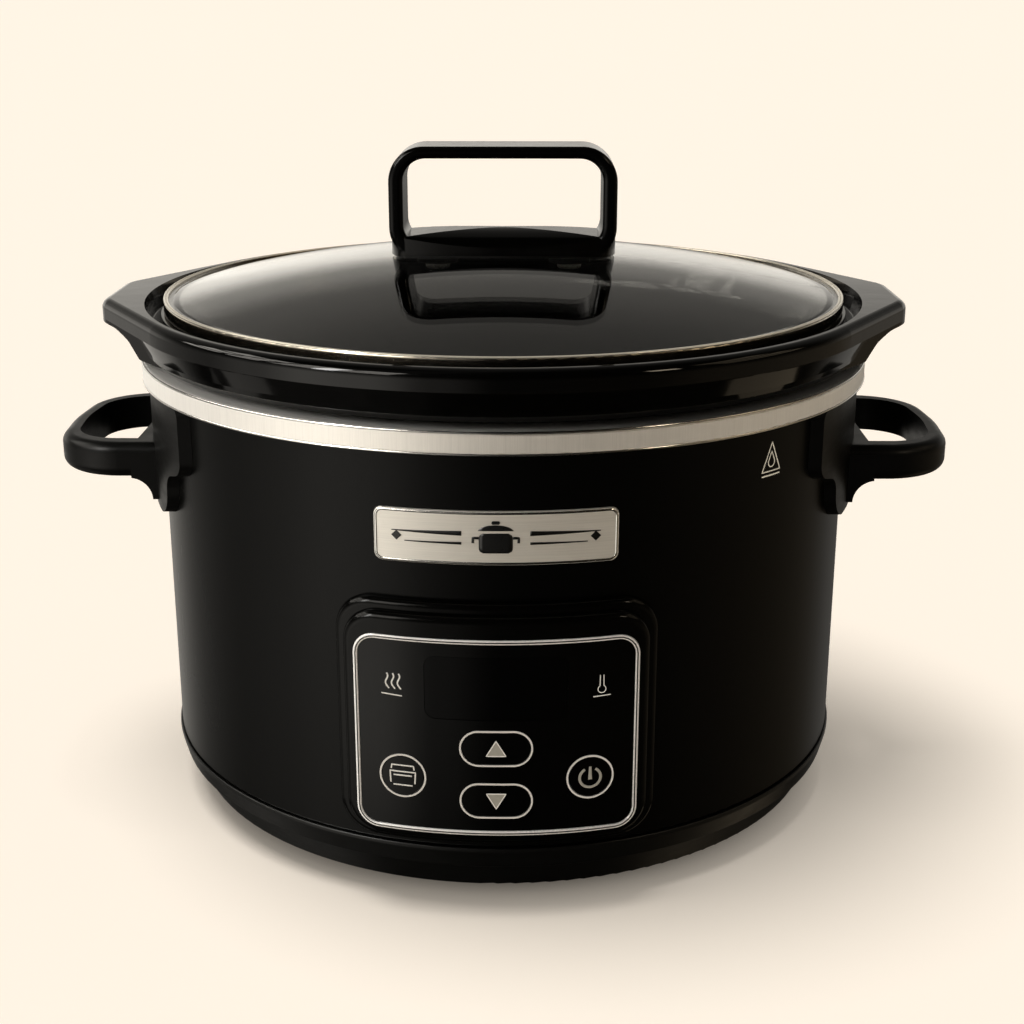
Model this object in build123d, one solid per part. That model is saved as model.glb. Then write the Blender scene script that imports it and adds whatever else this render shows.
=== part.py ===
from build123d import *
import os
from math import cos, radians, sin

# A round digital slow cooker, in millimetres. +Z is up, the front (control panel) faces -Y, and
# the origin is on the vertical axis at the level of the worktop.

# ---- driving dimensions --------------------------------------------------------------------------
WALL_R = 126.0            # outside of the painted steel wall
WALL_T = 0.8
BASE_FOOT_R = 118.4       # lowest edge of the plastic base
BASE_LOW = 4.0            # the feet lift the base this far off the worktop
BASE_TOP = 22.0
BAND_R = 132.0            # brushed steel band round the top
BAND_LOW = 155.7
BAND_TOP = 163.3
RIM_R = 134.2             # crock rim
RIM_TOP = 182.2
TAB_R = 144.8             # tip of the crock's two lifting tabs
LINER_TOP_R = 117.6       # inside of the heated well, at its mouth
LINER_FLOOR_R = 108.4
LINER_FLOOR = 39.0
LID_R = 123.1             # outside of the lid's metal rim
DOME_R = 520.0            # spherical radius of the glass
DOME_TOP = 197.0
GLASS_T = 4.0
FACE_R = 132.5            # front of the control panel, concentric with the wall
PANEL_Z = 63.65
BOARD_Y = 118.2           # distance of the control board's front from the axis
KEY_TRAVEL = 0.8
HANDLE_Z = 127.7          # middle of the side handles' bars
FAR = 400.0

LOW = (Align.CENTER, Align.CENTER, Align.MIN)


# ---- helpers -------------------------------------------------------------------------------------
def disc(radius, low, high, x=0.0, y=0.0):
    """Upright cylinder between two heights."""
    return Pos(x, y, low) * Cylinder(radius, high - low, align=LOW)


def tube(outer, inner, low, high):
    return disc(outer, low, high) - disc(inner, low - 1, high + 1)


def turned(points, radii=0):
    """Turns a closed (r, z) outline about the vertical axis. radii rounds its corners."""
    if radii:
        outline = FilletPolyline(*points, radius=radii, close=True)
    else:
        outline = Polyline(*points, close=True)
    return revolve(Plane.XZ * make_face(outline), Axis.Z)


def in_front(sketch, near, far):
    """Extrudes an (x, z) sketch towards the front, between two distances from the axis."""
    return extrude(Plane.XZ.offset(near) * sketch, amount=far - near)


def panel_rect(width, height, radius, z=PANEL_Z, x=0.0):
    return Pos(x, z) * RectangleRounded(width, height, radius)


def curved_plate(sketch, inner, outer):
    """The part of a forward prism that lies between two cylinders about the axis."""
    return in_front(sketch, 60, 150) & tube(outer, inner, 0, 250)


def box(x0, x1, y0, y1, z0, z1):
    size = (x1 - x0, y1 - y0, z1 - z0)
    return Pos((x0 + x1) / 2, (y0 + y1) / 2, (z0 + z1) / 2) * Box(*size)


def rounded_outside(solid, radius, outer):
    """Rounds the edges of the face that lies on the cylinder of radius outer."""
    face = [f for f in solid.faces() if abs(f.center(CenterOf.GEOMETRY).Y) > outer * 0.9
            and f.geom_type == GeomType.CYLINDER and abs(f.radius - outer) < 0.01]
    return fillet(face[0].edges(), radius)


def around(count, radius, first=0.0):
    """(x, y) places evenly spaced on a circle."""
    return [(radius * cos(radians(first + i * 360 / count)),
             radius * sin(radians(first + i * 360 / count))) for i in range(count)]


def compound(solids):
    return Compound(children=list(solids))


# ---- base ----------------------------------------------------------------------------------------
PLATE_LOW, PLATE_TOP = 6.5, 8.1
BOSS_R, FEET_R = 107.0, 90.0
GLAND_Z = 14.5
GLAND_BORE_R = 3.8
BOSSES = around(4, BOSS_R, 45)
FEET = around(4, FEET_R, 45)


def base_shell():
    """Moulded ring that closes the foot of the wall, with bosses for the bottom plate."""
    ring = turned([(113, BASE_LOW), (BASE_FOOT_R, BASE_LOW), (123.9, 14.0), (125.2, 14.6),
                   (126.8, 20.6), (126.8, BASE_TOP), (125.0, BASE_TOP), (125.0, 30), (122.9, 30),
                   (122.9, 16.5), (116.8, 6.4), (113, 6.4)],
                  [0.8, 1.6, 0.9, 0.4, 1.5, 0.6, 0.3, 0.8, 0.8, 2, 1, 0.8])
    for x, y in BOSSES:
        rib = Rot(0, 0, 45) * box(-2, 2, -2, 2, 9, 21)
        direction = Vector(x, y, 0).normalized()
        ring += disc(4.5, 8.3, 21, x, y)
        for step in range(4, 13, 3):
            ring += Pos(direction * (BOSS_R + step)) * rib
    for x, y in BOSSES:
        ring -= disc(1.75, 8, 19, x, y)
    ring &= disc(126.9, 0, 40)
    ring -= box(-8.3, 8.3, 100, 140, GLAND_Z - 6.3, GLAND_Z + 6.3)
    return ring


def base_plate():
    """Pressed floor of the base, with cooling slots, screw holes and holes for the feet."""
    plate = disc(115.6, PLATE_LOW, PLATE_TOP)
    slot = extrude(SlotOverall(26, 3.2), amount=20)
    for row in range(5):
        for side in (-1, 1):
            plate -= Pos(side * 62, -24 + row * 12, 0) * slot
    for x, y in BOSSES:
        plate -= disc(2.1, 0, 20, x, y)
    for x, y in FEET:
        plate -= disc(3.1, 0, 20, x, y)
    for x, y in STANDOFFS:
        plate -= disc(2.1, 0, 20, x, y)
    return plate


def foot(x, y):
    pad = turned([(0, 0), (9.2, 0), (8.4, 6.4), (0, 6.4)], [0, 1.2, 0.6, 0])
    return Pos(x, y, 0) * (pad + disc(3.0, 6, 9.6) + disc(4.2, 8.4, 9.6))


def screw_up(x, y, head_low, tip, head_r=3.6, shank_r=1.6):
    """Pan-head screw driven upwards, with a cross recess in its head."""
    head = turned([(0, head_low), (head_r, head_low), (head_r, head_low + 1.9), (0, head_low + 1.9)],
                  [0, 0.8, 0.2, 0])
    recess = box(-2, 2, -0.45, 0.45, head_low - 1, head_low + 1.1)
    head -= recess + Rot(0, 0, 90) * recess
    return Pos(x, y, 0) * (head + disc(shank_r, head_low + 1.5, tip))


def cord_gland():
    """Moulded outlet for the mains lead, at the back of the base."""
    mid = GLAND_Z
    body = box(-8, 8, 108, 127.2, mid - 6, mid + 6)
    collar = box(-10.5, 10.5, 126.9, 129.4, mid - 7, mid + 7)
    collar = fillet(collar.edges().filter_by(Axis.Y), 3)
    bore = Pos(0, 120, mid) * Rot(90, 0, 0) * Cylinder(GLAND_BORE_R, 60)
    return body + collar - bore


# ---- heated well and what is under it ------------------------------------------------------------
STANDOFFS = around(3, 62, 90)
SENSOR_R = 8.5


def liner_r(z):
    """Inside radius of the tapered well at a height."""
    share = (z - LINER_FLOOR) / (BAND_TOP - 1.1 - LINER_FLOOR)
    return LINER_FLOOR_R + share * (LINER_TOP_R - LINER_FLOOR_R)


def heating_liner():
    """Pressed well that the crock stands in. Its flange is held under the steel band."""
    top = BAND_TOP - 1.1
    well = turned([(0, LINER_FLOOR), (LINER_FLOOR_R, LINER_FLOOR), (LINER_TOP_R, top),
                   (124.4, top), (124.4, top - 1), (LINER_TOP_R + 1, top - 1),
                   (LINER_FLOOR_R + 1, LINER_FLOOR - 1), (0, LINER_FLOOR - 1)],
                  [0, 10, 1.2, 0.3, 0.3, 0.4, 11, 0])
    well -= disc(SENSOR_R + 0.8, LINER_FLOOR - 3, LINER_FLOOR + 3)
    return well


def on_liner(low, high, gap, thickness):
    """A band that follows the outside of the tapered well."""
    inner_low, inner_high = liner_r(low) + 1 + gap, liner_r(high) + 1 + gap
    return turned([(inner_low, low), (inner_low + thickness, low),
                   (inner_high + thickness, high), (inner_high, high)])


def heating_element():
    """Resistance band round the lower wall, open at the back where its two lugs are."""
    band = on_liner(52, 82, 0.3, 1.8) - box(-7, 7, 90, 140, 40, 100)
    for side in (-1, 1):
        band += box(side * 10 - 3, side * 10 + 3, 112.6, 119, 66, 67.2)
    return band


def element_clamp():
    """Strap that pulls the heating band against the well."""
    return on_liner(60, 64, 2.3, 0.6) - box(-10, 10, 90, 140, 40, 100)


def insulation_wrap():
    return tube(120.8, 118.4, 104, 152)


def temperature_sensor():
    """Spring-held cup that reaches through the well's floor and feels the crock."""
    cup = turned([(0, 41.0), (SENSOR_R, 41.0), (SENSOR_R, 36.4), (SENSOR_R + 2, 36.4),
                  (SENSOR_R + 2, 35.4), (SENSOR_R - 1, 35.4), (SENSOR_R - 1, 40.0), (0, 40.0)],
                 [0, 1.2, 0.3, 0.4, 0.4, 0.3, 0.4, 0])
    return cup + disc(2.2, 36, 40.2, 2.6) + disc(0.5, 31, 37, 1.6) + disc(0.5, 31, 37, 3.6)


def sensor_spring():
    """Leaf spring under the sensor, hooked to the underside of the well."""
    path = FilletPolyline((-30, 37.6), (-24, 37.6), (-16, 35.0), (16, 35.0), (24, 37.6), (30, 37.6),
                          radius=2.5)
    leaf = extrude(Plane.XZ.offset(-7) * trace(path, 0.6), amount=14)
    return leaf - disc(5, 30, 40, 2.6)


def thermal_fuse():
    barrel = Cylinder(2.2, 13) + Cylinder(0.5, 34)
    return Pos(38, 34, 35.7) * Rot(0, 0, 30) * Rot(0, 90, 0) * barrel


def fuse_clip():
    """Saddle that presses the thermal fuse to the well's floor."""
    saddle = box(-4, 4, -9, 9, 32.7, 37.9) - box(-5, 5, -3, 3, 33.2, 40)
    saddle -= box(-5, 5, -10, -4.2, 30, 37.2) + box(-5, 5, 4.2, 10, 30, 37.2)
    return Pos(38, 34, 0) * Rot(0, 0, 30) * saddle


# ---- electronics ---------------------------------------------------------------------------------
POWER_BOARD = (-46, 46, -82, -24)
POWER_BOARD_Z = 14.0
POSTS = [(-40, -76), (40, -76), (-40, -30), (40, -30)]


def power_board():
    x0, x1, y0, y1 = POWER_BOARD
    board = box(x0, x1, y0, y1, POWER_BOARD_Z, POWER_BOARD_Z + 1.6)
    for x, y in POSTS:
        board -= disc(1.6, 0, 40, x, y)
    return board


def board_post(x, y):
    pin = disc(1.5, POWER_BOARD_Z - 1, POWER_BOARD_Z + 2.6, x, y)
    return disc(3, PLATE_TOP, POWER_BOARD_Z, x, y) + pin


def on_board(x, y, width, depth, height, edge=0.6):
    """A block-shaped component standing on the power board."""
    low = POWER_BOARD_Z + 1.6
    block = box(x - width / 2, x + width / 2, y - depth / 2, y + depth / 2, low, low + height)
    return fillet(block.edges().group_by(Axis.Z)[-1], edge)


def transformer():
    """Laminated core with its bobbin."""
    core = on_board(-22, -52, 30, 12, 18, 0.4)
    return core + on_board(-22, -52, 18, 26, 14.5, 1.5)


def terminal_block():
    """Screw terminals for the mains lead and the heating band."""
    block = on_board(0, -30.5, 26, 9, 11, 0.5)
    for x in (-8, 0, 8):
        block -= disc(2.2, POWER_BOARD_Z + 9, 60, x, -30.5)
    return block


def capacitor():
    low = POWER_BOARD_Z + 1.6
    return turned([(0, low), (6.5, low), (6.5, low + 16), (0, low + 16)], [0, 0.5, 1.2, 0])


def control_board():
    """Upright board behind the panel, with the keys' switches and the display on its front."""
    return in_front(panel_rect(77, 56, 2), BOARD_Y - 1.6, BOARD_Y)


def tact_switch(x, z):
    body = in_front(Pos(x, z) * Rectangle(6, 6), BOARD_Y, BOARD_Y + 3.1)
    plunger = in_front(Pos(x, z) * Circle(1.6), BOARD_Y + 3, BOARD_Y + 3.8)
    return body + plunger


def display_module():
    return in_front(panel_rect(41, 18.5, 0.8, DISPLAY_Z), BOARD_Y, 126.6)


def processor():
    return in_front(panel_rect(12, 12, 0.4, 52, -14), BOARD_Y - 3, BOARD_Y - 1.6)


# ---- control panel -------------------------------------------------------------------------------
DISPLAY_Z = 80.7
DISPLAY_W, DISPLAY_H = 45.0, 21.2
KEY_GAP = 0.3             # clearance round each key
RING_W = 0.55             # width of the bright ring round each key
ROUND_KEY_R = 7.55        # outside of the ring of a round key
TRIM_W, TRIM_H = 90.0, 67.0   # outside of the bright line that frames the fascia
STEP_R = 129.4            # front of the bezel's lower step
LONG_KEY_W, LONG_KEY_H = 23.3, 12.3
KEYS = {
    "menu": (-29.8, 49.4),
    "up": (0.0, 60.5),
    "down": (0.0, 42.3),
    "power": (29.8, 49.4),
}


def key_outline(name, inset):
    """Outline of a key's ring, brought in by inset: a circle, or a stadium for up and down."""
    if name in ("up", "down"):
        shape = SlotOverall(LONG_KEY_W - 2 * inset, LONG_KEY_H - 2 * inset)
    else:
        shape = Circle(ROUND_KEY_R - inset)
    return Pos(*KEYS[name]) * shape


def control_bezel():
    """Two-step frame that carries the panel. A lip at its back drops into the wall's window."""
    back = WALL_R + 0.05
    step = rounded_outside(curved_plate(panel_rect(102, 83, 12, 66.1), back, STEP_R), 2.4, STEP_R)
    face = rounded_outside(curved_plate(panel_rect(96.6, 77.2, 11, 65.7), back, FACE_R), 2.7, FACE_R)
    lip = curved_plate(panel_rect(86.4, 61.4, 6), 121.5, WALL_R + 0.1)
    frame = step + face + lip
    frame -= curved_plate(panel_rect(TRIM_W + 0.4, TRIM_H + 0.4, 7.2), STEP_R - 0.1, 140)
    frame -= in_front(panel_rect(82.4, 57.6, 4.5), 90, 160)
    return frame


def fascia_trim():
    """Bright line that frames the fascia."""
    ring = panel_rect(TRIM_W, TRIM_H, 7) - panel_rect(TRIM_W - 2.8, TRIM_H - 2.8, 5.6)
    front = FACE_R + 0.35
    return rounded_outside(curved_plate(ring, STEP_R, front), 0.35, front)


def fascia():
    """Gloss black front sheet, with openings for the display window and the keys."""
    sheet = curved_plate(panel_rect(TRIM_W - 3.2, TRIM_H - 3.2, 5.4), STEP_R, FACE_R - 0.2)
    sheet -= in_front(panel_rect(DISPLAY_W, DISPLAY_H, 3.6, DISPLAY_Z), 100, 150)
    for name in KEYS:
        sheet -= in_front(key_outline(name, -0.05), 100, 150)
    return sheet


def display_window():
    pane = panel_rect(DISPLAY_W - 0.3, DISPLAY_H - 0.3, 3.4, DISPLAY_Z)
    return curved_plate(pane, STEP_R + 0.2, FACE_R - 0.35)


def key_ring(name):
    ring = key_outline(name, 0) - key_outline(name, RING_W)
    return curved_plate(ring, STEP_R, FACE_R + 0.05)


def key(name):
    """Key cap with a retaining flange behind the fascia and a stem that reaches its switch."""
    x, z = KEYS[name]
    cap = curved_plate(key_outline(name, RING_W + KEY_GAP), 127.2, FACE_R - 0.05)
    flange = curved_plate(key_outline(name, -0.9), 127.2, 129.0)
    stem = in_front(Pos(x, z) * Circle(2.2), BOARD_Y + 3.8 + KEY_TRAVEL + 0.1, 128)
    stem &= disc(128.5, 0, 120)
    return cap + flange + stem


# ---- wall, band and badge ------------------------------------------------------------------------
HANDLE_BAR_Y = 36.2       # where each bar of a side handle is screwed on


def outer_wall():
    """Rolled and painted sheet, with a window for the panel and holes for the handle screws."""
    wall = tube(WALL_R, WALL_R - WALL_T, 23.0, 160.9)
    wall -= in_front(panel_rect(87, 62, 6.3), 60, 150)
    for y in (-HANDLE_BAR_Y, HANDLE_BAR_Y):
        wall -= Pos(0, y, HANDLE_Z) * Rot(0, 90, 0) * Cylinder(2.3, 300)
    return wall


def steel_band():
    """Channel-section steel ring that caps the wall and clamps the well's flange."""
    return turned([(126.2, BAND_LOW), (BAND_R, BAND_LOW), (BAND_R, BAND_TOP), (119.2, BAND_TOP),
                   (119.2, BAND_TOP - 1), (BAND_R - 1, BAND_TOP - 1), (BAND_R - 1, BAND_LOW + 1),
                   (126.2, BAND_LOW + 1)],
                  [0.3, 1.2, 1.2, 0.4, 0.3, 0.4, 0.4, 0.3])


def badge():
    plate = curved_plate(panel_rect(75.4, 17.2, 2.6, 128.4), WALL_R + 0.05, WALL_R + 1.1)
    return rounded_outside(plate, 0.4, WALL_R + 1.1)


# ---- side handles --------------------------------------------------------------------------------
BAR_LOW, BAR_TOP = 121.4, 134.0
LOOP_TIP = 163.6          # furthest reach of a handle from the axis
LOOP_HALF = 40.8          # half of the loop's length along the wall
PLATE_R = 129.8           # outside of the mounting plate
LOOP_TIP_T = 6.0          # thickness of the loop at its tip
LOOP_BAR_T = 8.6          # width of each bar
WEB_Y = 36.5


def loop_outline(tip, half, corner):
    """Plan of the D-shaped loop: a slightly bowed end and two straight bars."""
    points = [(112, -half), (tip - 3, -half), (tip, 0), (tip - 3, half), (112, half)]
    return make_face(FilletPolyline(*points, radius=[0.01, corner, 80, corner, 0.01], close=True))


def mounting_plate():
    """Shield-shaped plate that hugs the wall: wide behind the loop, narrower and rounded below."""
    corners = [(-57.5, 112), (57.5, 112), (59.5, 128), (72.5, 131.5), (72.5, 155.2),
               (-72.5, 155.2), (-72.5, 131.5), (-59.5, 128)]
    radii = [10, 10, 7, 6, 4, 4, 6, 7]
    outline = make_face(FilletPolyline(*corners, radius=radii, close=True))
    return extrude(Plane.YZ.offset(60) * outline, amount=90) & tube(PLATE_R, WALL_R + 0.05, 100, 160)


def side_handle():
    """Right-hand carrying handle: loop, mounting plate and the webs below the bars."""
    height = BAR_TOP - BAR_LOW
    loop = extrude(loop_outline(LOOP_TIP, LOOP_HALF, 25), amount=height)
    loop = fillet(loop.edges().group_by(Axis.Z)[-1] + loop.edges().group_by(Axis.Z)[0], 3.8)
    gap = extrude(loop_outline(LOOP_TIP - LOOP_TIP_T, LOOP_HALF - LOOP_BAR_T, 17), amount=height + 10)
    gap &= box(PLATE_R + 1.5, FAR, -FAR, FAR, -10, 50)
    gap = Pos(0, 0, -5) * gap
    loop = Pos(0, 0, BAR_LOW) * (loop - gap)
    web = make_face([
        Line((120, 131), (132.5, 131)),
        Line((132.5, 131), (132.5, BAR_LOW + 0.1)),
        ThreePointArc((132.5, BAR_LOW + 0.1), (128, 119.6), (125.2, 113.6)),
        Line((125.2, 113.6), (120, 113.6)),
        Line((120, 113.6), (120, 131)),
    ])
    handle = loop + mounting_plate()
    for side in (-1, 1):
        web_plane = Plane.XZ.offset(side * WEB_Y - LOOP_BAR_T / 2)
        handle += extrude(web_plane * web, amount=LOOP_BAR_T)
    handle -= disc(WALL_R + 0.05, 90, 170)
    for y in (-HANDLE_BAR_Y, HANDLE_BAR_Y):
        handle -= Pos(132, y, HANDLE_Z) * Rot(0, 90, 0) * Cylinder(1.75, 30)
    return handle


def handle_screw(side, y):
    """Screw driven from inside the wall into a handle's bar."""
    head = Cylinder(3.8, 1.8, align=LOW) - Box(1, 5, 1.6)
    screw = head + Pos(0, 0, 1.5) * Cylinder(1.65, 16, align=LOW)
    wall_x = (WALL_R - WALL_T) ** 2 - (abs(y) + 3.8) ** 2
    return Pos(side * (wall_x ** 0.5 - 1.85), y, HANDLE_Z) * Rot(0, 90 * side, 0) * screw


# ---- crock ---------------------------------------------------------------------------------------
CROCK_LOW = 41.4
SEAT = BAND_TOP + 0.3     # underside of the rim, just clear of the steel band
LEDGE = 178.6             # where the lid's rim rests
CHANNEL_LOW = 174.6       # floor of the gutter between the lid and the rim
TAB_LOW = 175.4


def tab_plan(body_r):
    """Plan of the rim: a circle with a blunt tab at each side, joined by straight tangents."""
    edges = Circle(body_r).edges()
    for side in (-1, 1):
        edges += (Pos(side * (TAB_R - 17), 0) * RectangleRounded(34, 60, 16)).edges()
    return make_hull(edges)


def crock():
    """Glazed stoneware pot with a deep rim, a ledge for the lid and two lifting tabs."""
    rim = extrude(tab_plan(RIM_R), amount=RIM_TOP - TAB_LOW)
    rim = Pos(0, 0, TAB_LOW) * fillet(rim.edges().group_by(Axis.Z)[-1], 3.2)
    skirt = turned([(100, SEAT), (123.0, SEAT), (123.6, 165.2), (128.6, 165.2), (130.6, 167.4),
                    (131.4, 169.4), (RIM_R, TAB_LOW), (RIM_R, TAB_LOW + 2), (100, TAB_LOW + 2)],
                   [0, 0.3, 0.5, 1.0, 0.8, 1.5, 1.5, 0.1, 0])
    flare = turned([(100, 165.2), (133.2, 165.2), (134.2, 167.2), (136.2, 170.8), (140, 173.4),
                    (147, 174.6), (147, 176.4), (100, 176.4)],
                   [0, 0.9, 1.2, 6, 6, 0.1, 0.1, 0])
    flare &= extrude(tab_plan(126), amount=FAR)
    bowl = turned([(0, CROCK_LOW), (LINER_FLOOR_R - 1.4, CROCK_LOW),
                   (LINER_TOP_R - 1.2, SEAT + 4), (0, SEAT + 4)],
                  [0, 22, 0.1, 0])
    hollow = turned([(0, CROCK_LOW + 7.5), (99.5, CROCK_LOW + 7.5), (108.4, 168),
                     (115.4, LEDGE - 0.6), (115.8, LEDGE), (124.2, LEDGE), (124.8, CHANNEL_LOW),
                     (127.8, CHANNEL_LOW), (129.8, RIM_TOP + 0.4), (129.8, RIM_TOP + 5),
                     (0, RIM_TOP + 5)],
                    [0, 24, 9, 0.1, 0.1, 0.3, 1.0, 1.0, 1.5, 0.1, 0])
    return rim + skirt + flare + bowl - hollow


# ---- lid -----------------------------------------------------------------------------------------
LID_SCREW_X = 24.0
GLASS_R = 122.2
FLANGE_TOP = 183.0
FLANGE_LOW = 179.5
SADDLE_TOP = 205.6
HANDLE_TOP = 235.2
HANDLE_W = 81.6


def sphere(radius):
    return Pos(0, 0, DOME_TOP - DOME_R) * Sphere(radius)


def dome_z(radius, shell_r=DOME_R):
    """Height of a spherical surface of the lid at a distance from the axis."""
    return DOME_TOP - DOME_R + (shell_r ** 2 - radius ** 2) ** 0.5


def lid_glass():
    """Tempered glass dome with a flat flange and two holes for the handle's screws."""
    under = DOME_R - GLASS_T
    section = make_face([
        Line((0, dome_z(0, under)), (0, DOME_TOP)),
        ThreePointArc((0, DOME_TOP), (60, dome_z(60)), (119, dome_z(119))),
        Line((119, dome_z(119)), (119.6, FLANGE_TOP)),
        Line((119.6, FLANGE_TOP), (GLASS_R, FLANGE_TOP)),
        Line((GLASS_R, FLANGE_TOP), (GLASS_R, FLANGE_LOW)),
        Line((GLASS_R, FLANGE_LOW), (117, FLANGE_LOW)),
        Line((117, FLANGE_LOW), (116.6, dome_z(116.6, under))),
        ThreePointArc((116.6, dome_z(116.6, under)), (60, dome_z(60, under)), (0, dome_z(0, under))),
    ])
    glass = revolve(Plane.XZ * section, Axis.Z)
    for side in (-1, 1):
        glass -= disc(3.0, 150, 220, side * LID_SCREW_X)
    return glass


def lid_rim():
    """Rolled steel channel that holds the edge of the glass."""
    lip, groove = 121.3, GLASS_R + 0.1
    top, low = FLANGE_TOP + 0.05, FLANGE_LOW - 0.05
    return turned([(lip, top + 0.55), (LID_R, top + 0.55), (LID_R, low - 0.55), (lip, low - 0.55),
                   (lip, low), (groove, low), (groove, top), (lip, top)],
                  [0.25, 0.7, 0.7, 0.25, 0.1, 0, 0, 0.1])


def saddle_plan(inset):
    """Eye-shaped plan of the lid handle's base, wider front to back in the middle."""
    half_w, end, mid = HANDLE_W / 2 - inset, 12.5 - inset, 18.0 - inset
    shape = make_face([
        ThreePointArc((-half_w + 4, -end), (0, -mid), (half_w - 4, -end)),
        ThreePointArc((half_w - 4, -end), (half_w, 0), (half_w - 4, end)),
        ThreePointArc((half_w - 4, end), (0, mid), (-half_w + 4, end)),
        ThreePointArc((-half_w + 4, end), (-half_w, 0), (-half_w + 4, -end)),
    ])
    return fillet(shape.vertices(), 5)


def lid_handle():
    """Upright rectangular loop on a crowned saddle, moulded in one piece."""
    low = dome_z(41) - 1
    height = HANDLE_TOP - low
    mid_z = (HANDLE_TOP + low) / 2
    opening = Pos(0, 0.6) * RectangleRounded(HANDLE_W - 10.4, height - 9.6, 8.2)
    frame = Pos(0, mid_z) * (RectangleRounded(HANDLE_W, height, 12.5) - opening)
    loop = extrude(Plane.XZ.offset(-13) * frame, amount=26)
    front_back = loop.edges().filter_by(lambda e: abs(abs(e.center().Y) - 13) < 0.01)
    loop = fillet(front_back, 1.9)
    saddle = Pos(0, 0, 190) * extrude(saddle_plan(0), amount=30)
    saddle &= Pos(0, 0, SADDLE_TOP - 34) * Rot(0, 90, 0) * Cylinder(34, 120)
    saddle &= Pos(0, 0, SADDLE_TOP - 300) * Rot(90, 0, 0) * Cylinder(300, 80)
    handle = loop + saddle
    handle -= sphere(DOME_R + 0.9)
    for side in (-1, 1):
        handle -= disc(1.75, 190, 203.2, side * LID_SCREW_X)
    return handle


def handle_gasket():
    """Silicone pad between the handle and the glass."""
    pad = Pos(0, 0, 180) * extrude(saddle_plan(1.2), amount=40)
    pad = (pad & sphere(DOME_R + 0.85)) - sphere(DOME_R + 0.05)
    for side in (-1, 1):
        pad -= disc(2.2, 150, 220, side * LID_SCREW_X)
    return pad


def lid_washer(side):
    """Silicone washer under the glass."""
    top = dome_z(LID_SCREW_X + 8, DOME_R - GLASS_T) - 0.1
    return disc(7.5, top - 1.6, top, side * LID_SCREW_X) - disc(2.2, 150, 220, side * LID_SCREW_X)


def lid_screw(side):
    washer_low = dome_z(LID_SCREW_X + 8, DOME_R - GLASS_T) - 1.7
    return screw_up(side * LID_SCREW_X, 0, washer_low - 1.95, 202.5, 4.4, 1.65)


# ---- write the parts -----------------------------------------------------------------------------
def build():
    standoffs = [disc(5, PLATE_TOP, LINER_FLOOR - 1.05, x, y) - disc(1.75, 0, 30, x, y)
                 for x, y in STANDOFFS]
    handle_screws = [handle_screw(side, y) for side in (-1, 1) for y in (-HANDLE_BAR_Y, HANDLE_BAR_Y)]
    parts = {
        "base_shell": base_shell(),
        "base_plate": base_plate(),
        "rubber_feet": compound(foot(x, y) for x, y in FEET),
        "base_screws": compound(screw_up(x, y, PLATE_LOW - 1.95, 17.5) for x, y in BOSSES),
        "cord_gland": cord_gland(),
        "well_standoffs": compound(standoffs),
        "standoff_screws": compound(screw_up(x, y, PLATE_LOW - 1.95, 22) for x, y in STANDOFFS),
        "heating_liner": heating_liner(),
        "heating_element": heating_element(),
        "element_clamp": element_clamp(),
        "insulation_wrap": insulation_wrap(),
        "temperature_sensor": temperature_sensor(),
        "sensor_spring": sensor_spring(),
        "thermal_fuse": thermal_fuse(),
        "fuse_clip": fuse_clip(),
        "power_board": power_board(),
        "board_posts": compound(board_post(x, y) for x, y in POSTS),
        "relay": on_board(20, -62, 19, 15.5, 15.5),
        "transformer": transformer(),
        "capacitor": Pos(24, -42, 0) * capacitor(),
        "terminal_block": terminal_block(),
        "control_board": control_board(),
        "tact_switches": compound(tact_switch(x, z) for x, z in KEYS.values()),
        "display_module": display_module(),
        "processor": processor(),
        "control_bezel": control_bezel(),
        "fascia": fascia(),
        "fascia_trim": fascia_trim(),
        "display_window": display_window(),
        "key_rings": compound(key_ring(name) for name in KEYS),
        "outer_wall": outer_wall(),
        "steel_band": steel_band(),
        "badge_plate": badge(),
        "side_handle_right": side_handle(),
        "side_handle_left": mirror(side_handle(), Plane.YZ),
        "handle_screws": compound(handle_screws),
        "crock": crock(),
        "lid_glass": lid_glass(),
        "lid_rim": lid_rim(),
        "lid_handle": lid_handle(),
        "handle_gasket": handle_gasket(),
        "lid_washers": compound(lid_washer(side) for side in (-1, 1)),
        "lid_screws": compound(lid_screw(side) for side in (-1, 1)),
    }
    for name in KEYS:
        parts["key_" + name] = key(name)
    return parts


os.makedirs("parts", exist_ok=True)
for node, shape in build().items():
    export_step(shape, f"parts/{node}.step")
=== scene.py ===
import math

import bmesh
import bpy
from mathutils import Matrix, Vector


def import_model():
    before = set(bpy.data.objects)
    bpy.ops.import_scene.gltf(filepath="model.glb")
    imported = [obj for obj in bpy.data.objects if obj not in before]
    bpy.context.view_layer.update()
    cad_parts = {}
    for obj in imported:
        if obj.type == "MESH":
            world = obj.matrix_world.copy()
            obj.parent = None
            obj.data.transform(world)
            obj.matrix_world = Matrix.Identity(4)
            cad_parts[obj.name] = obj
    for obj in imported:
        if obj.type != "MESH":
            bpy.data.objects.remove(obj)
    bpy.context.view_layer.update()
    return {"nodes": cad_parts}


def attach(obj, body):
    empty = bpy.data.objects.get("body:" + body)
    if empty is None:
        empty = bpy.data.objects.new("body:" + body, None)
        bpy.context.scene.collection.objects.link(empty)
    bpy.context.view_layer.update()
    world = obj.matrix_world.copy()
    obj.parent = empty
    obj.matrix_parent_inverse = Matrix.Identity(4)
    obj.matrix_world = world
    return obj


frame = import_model()
NODES = frame["nodes"]
MM = 0.001

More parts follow.
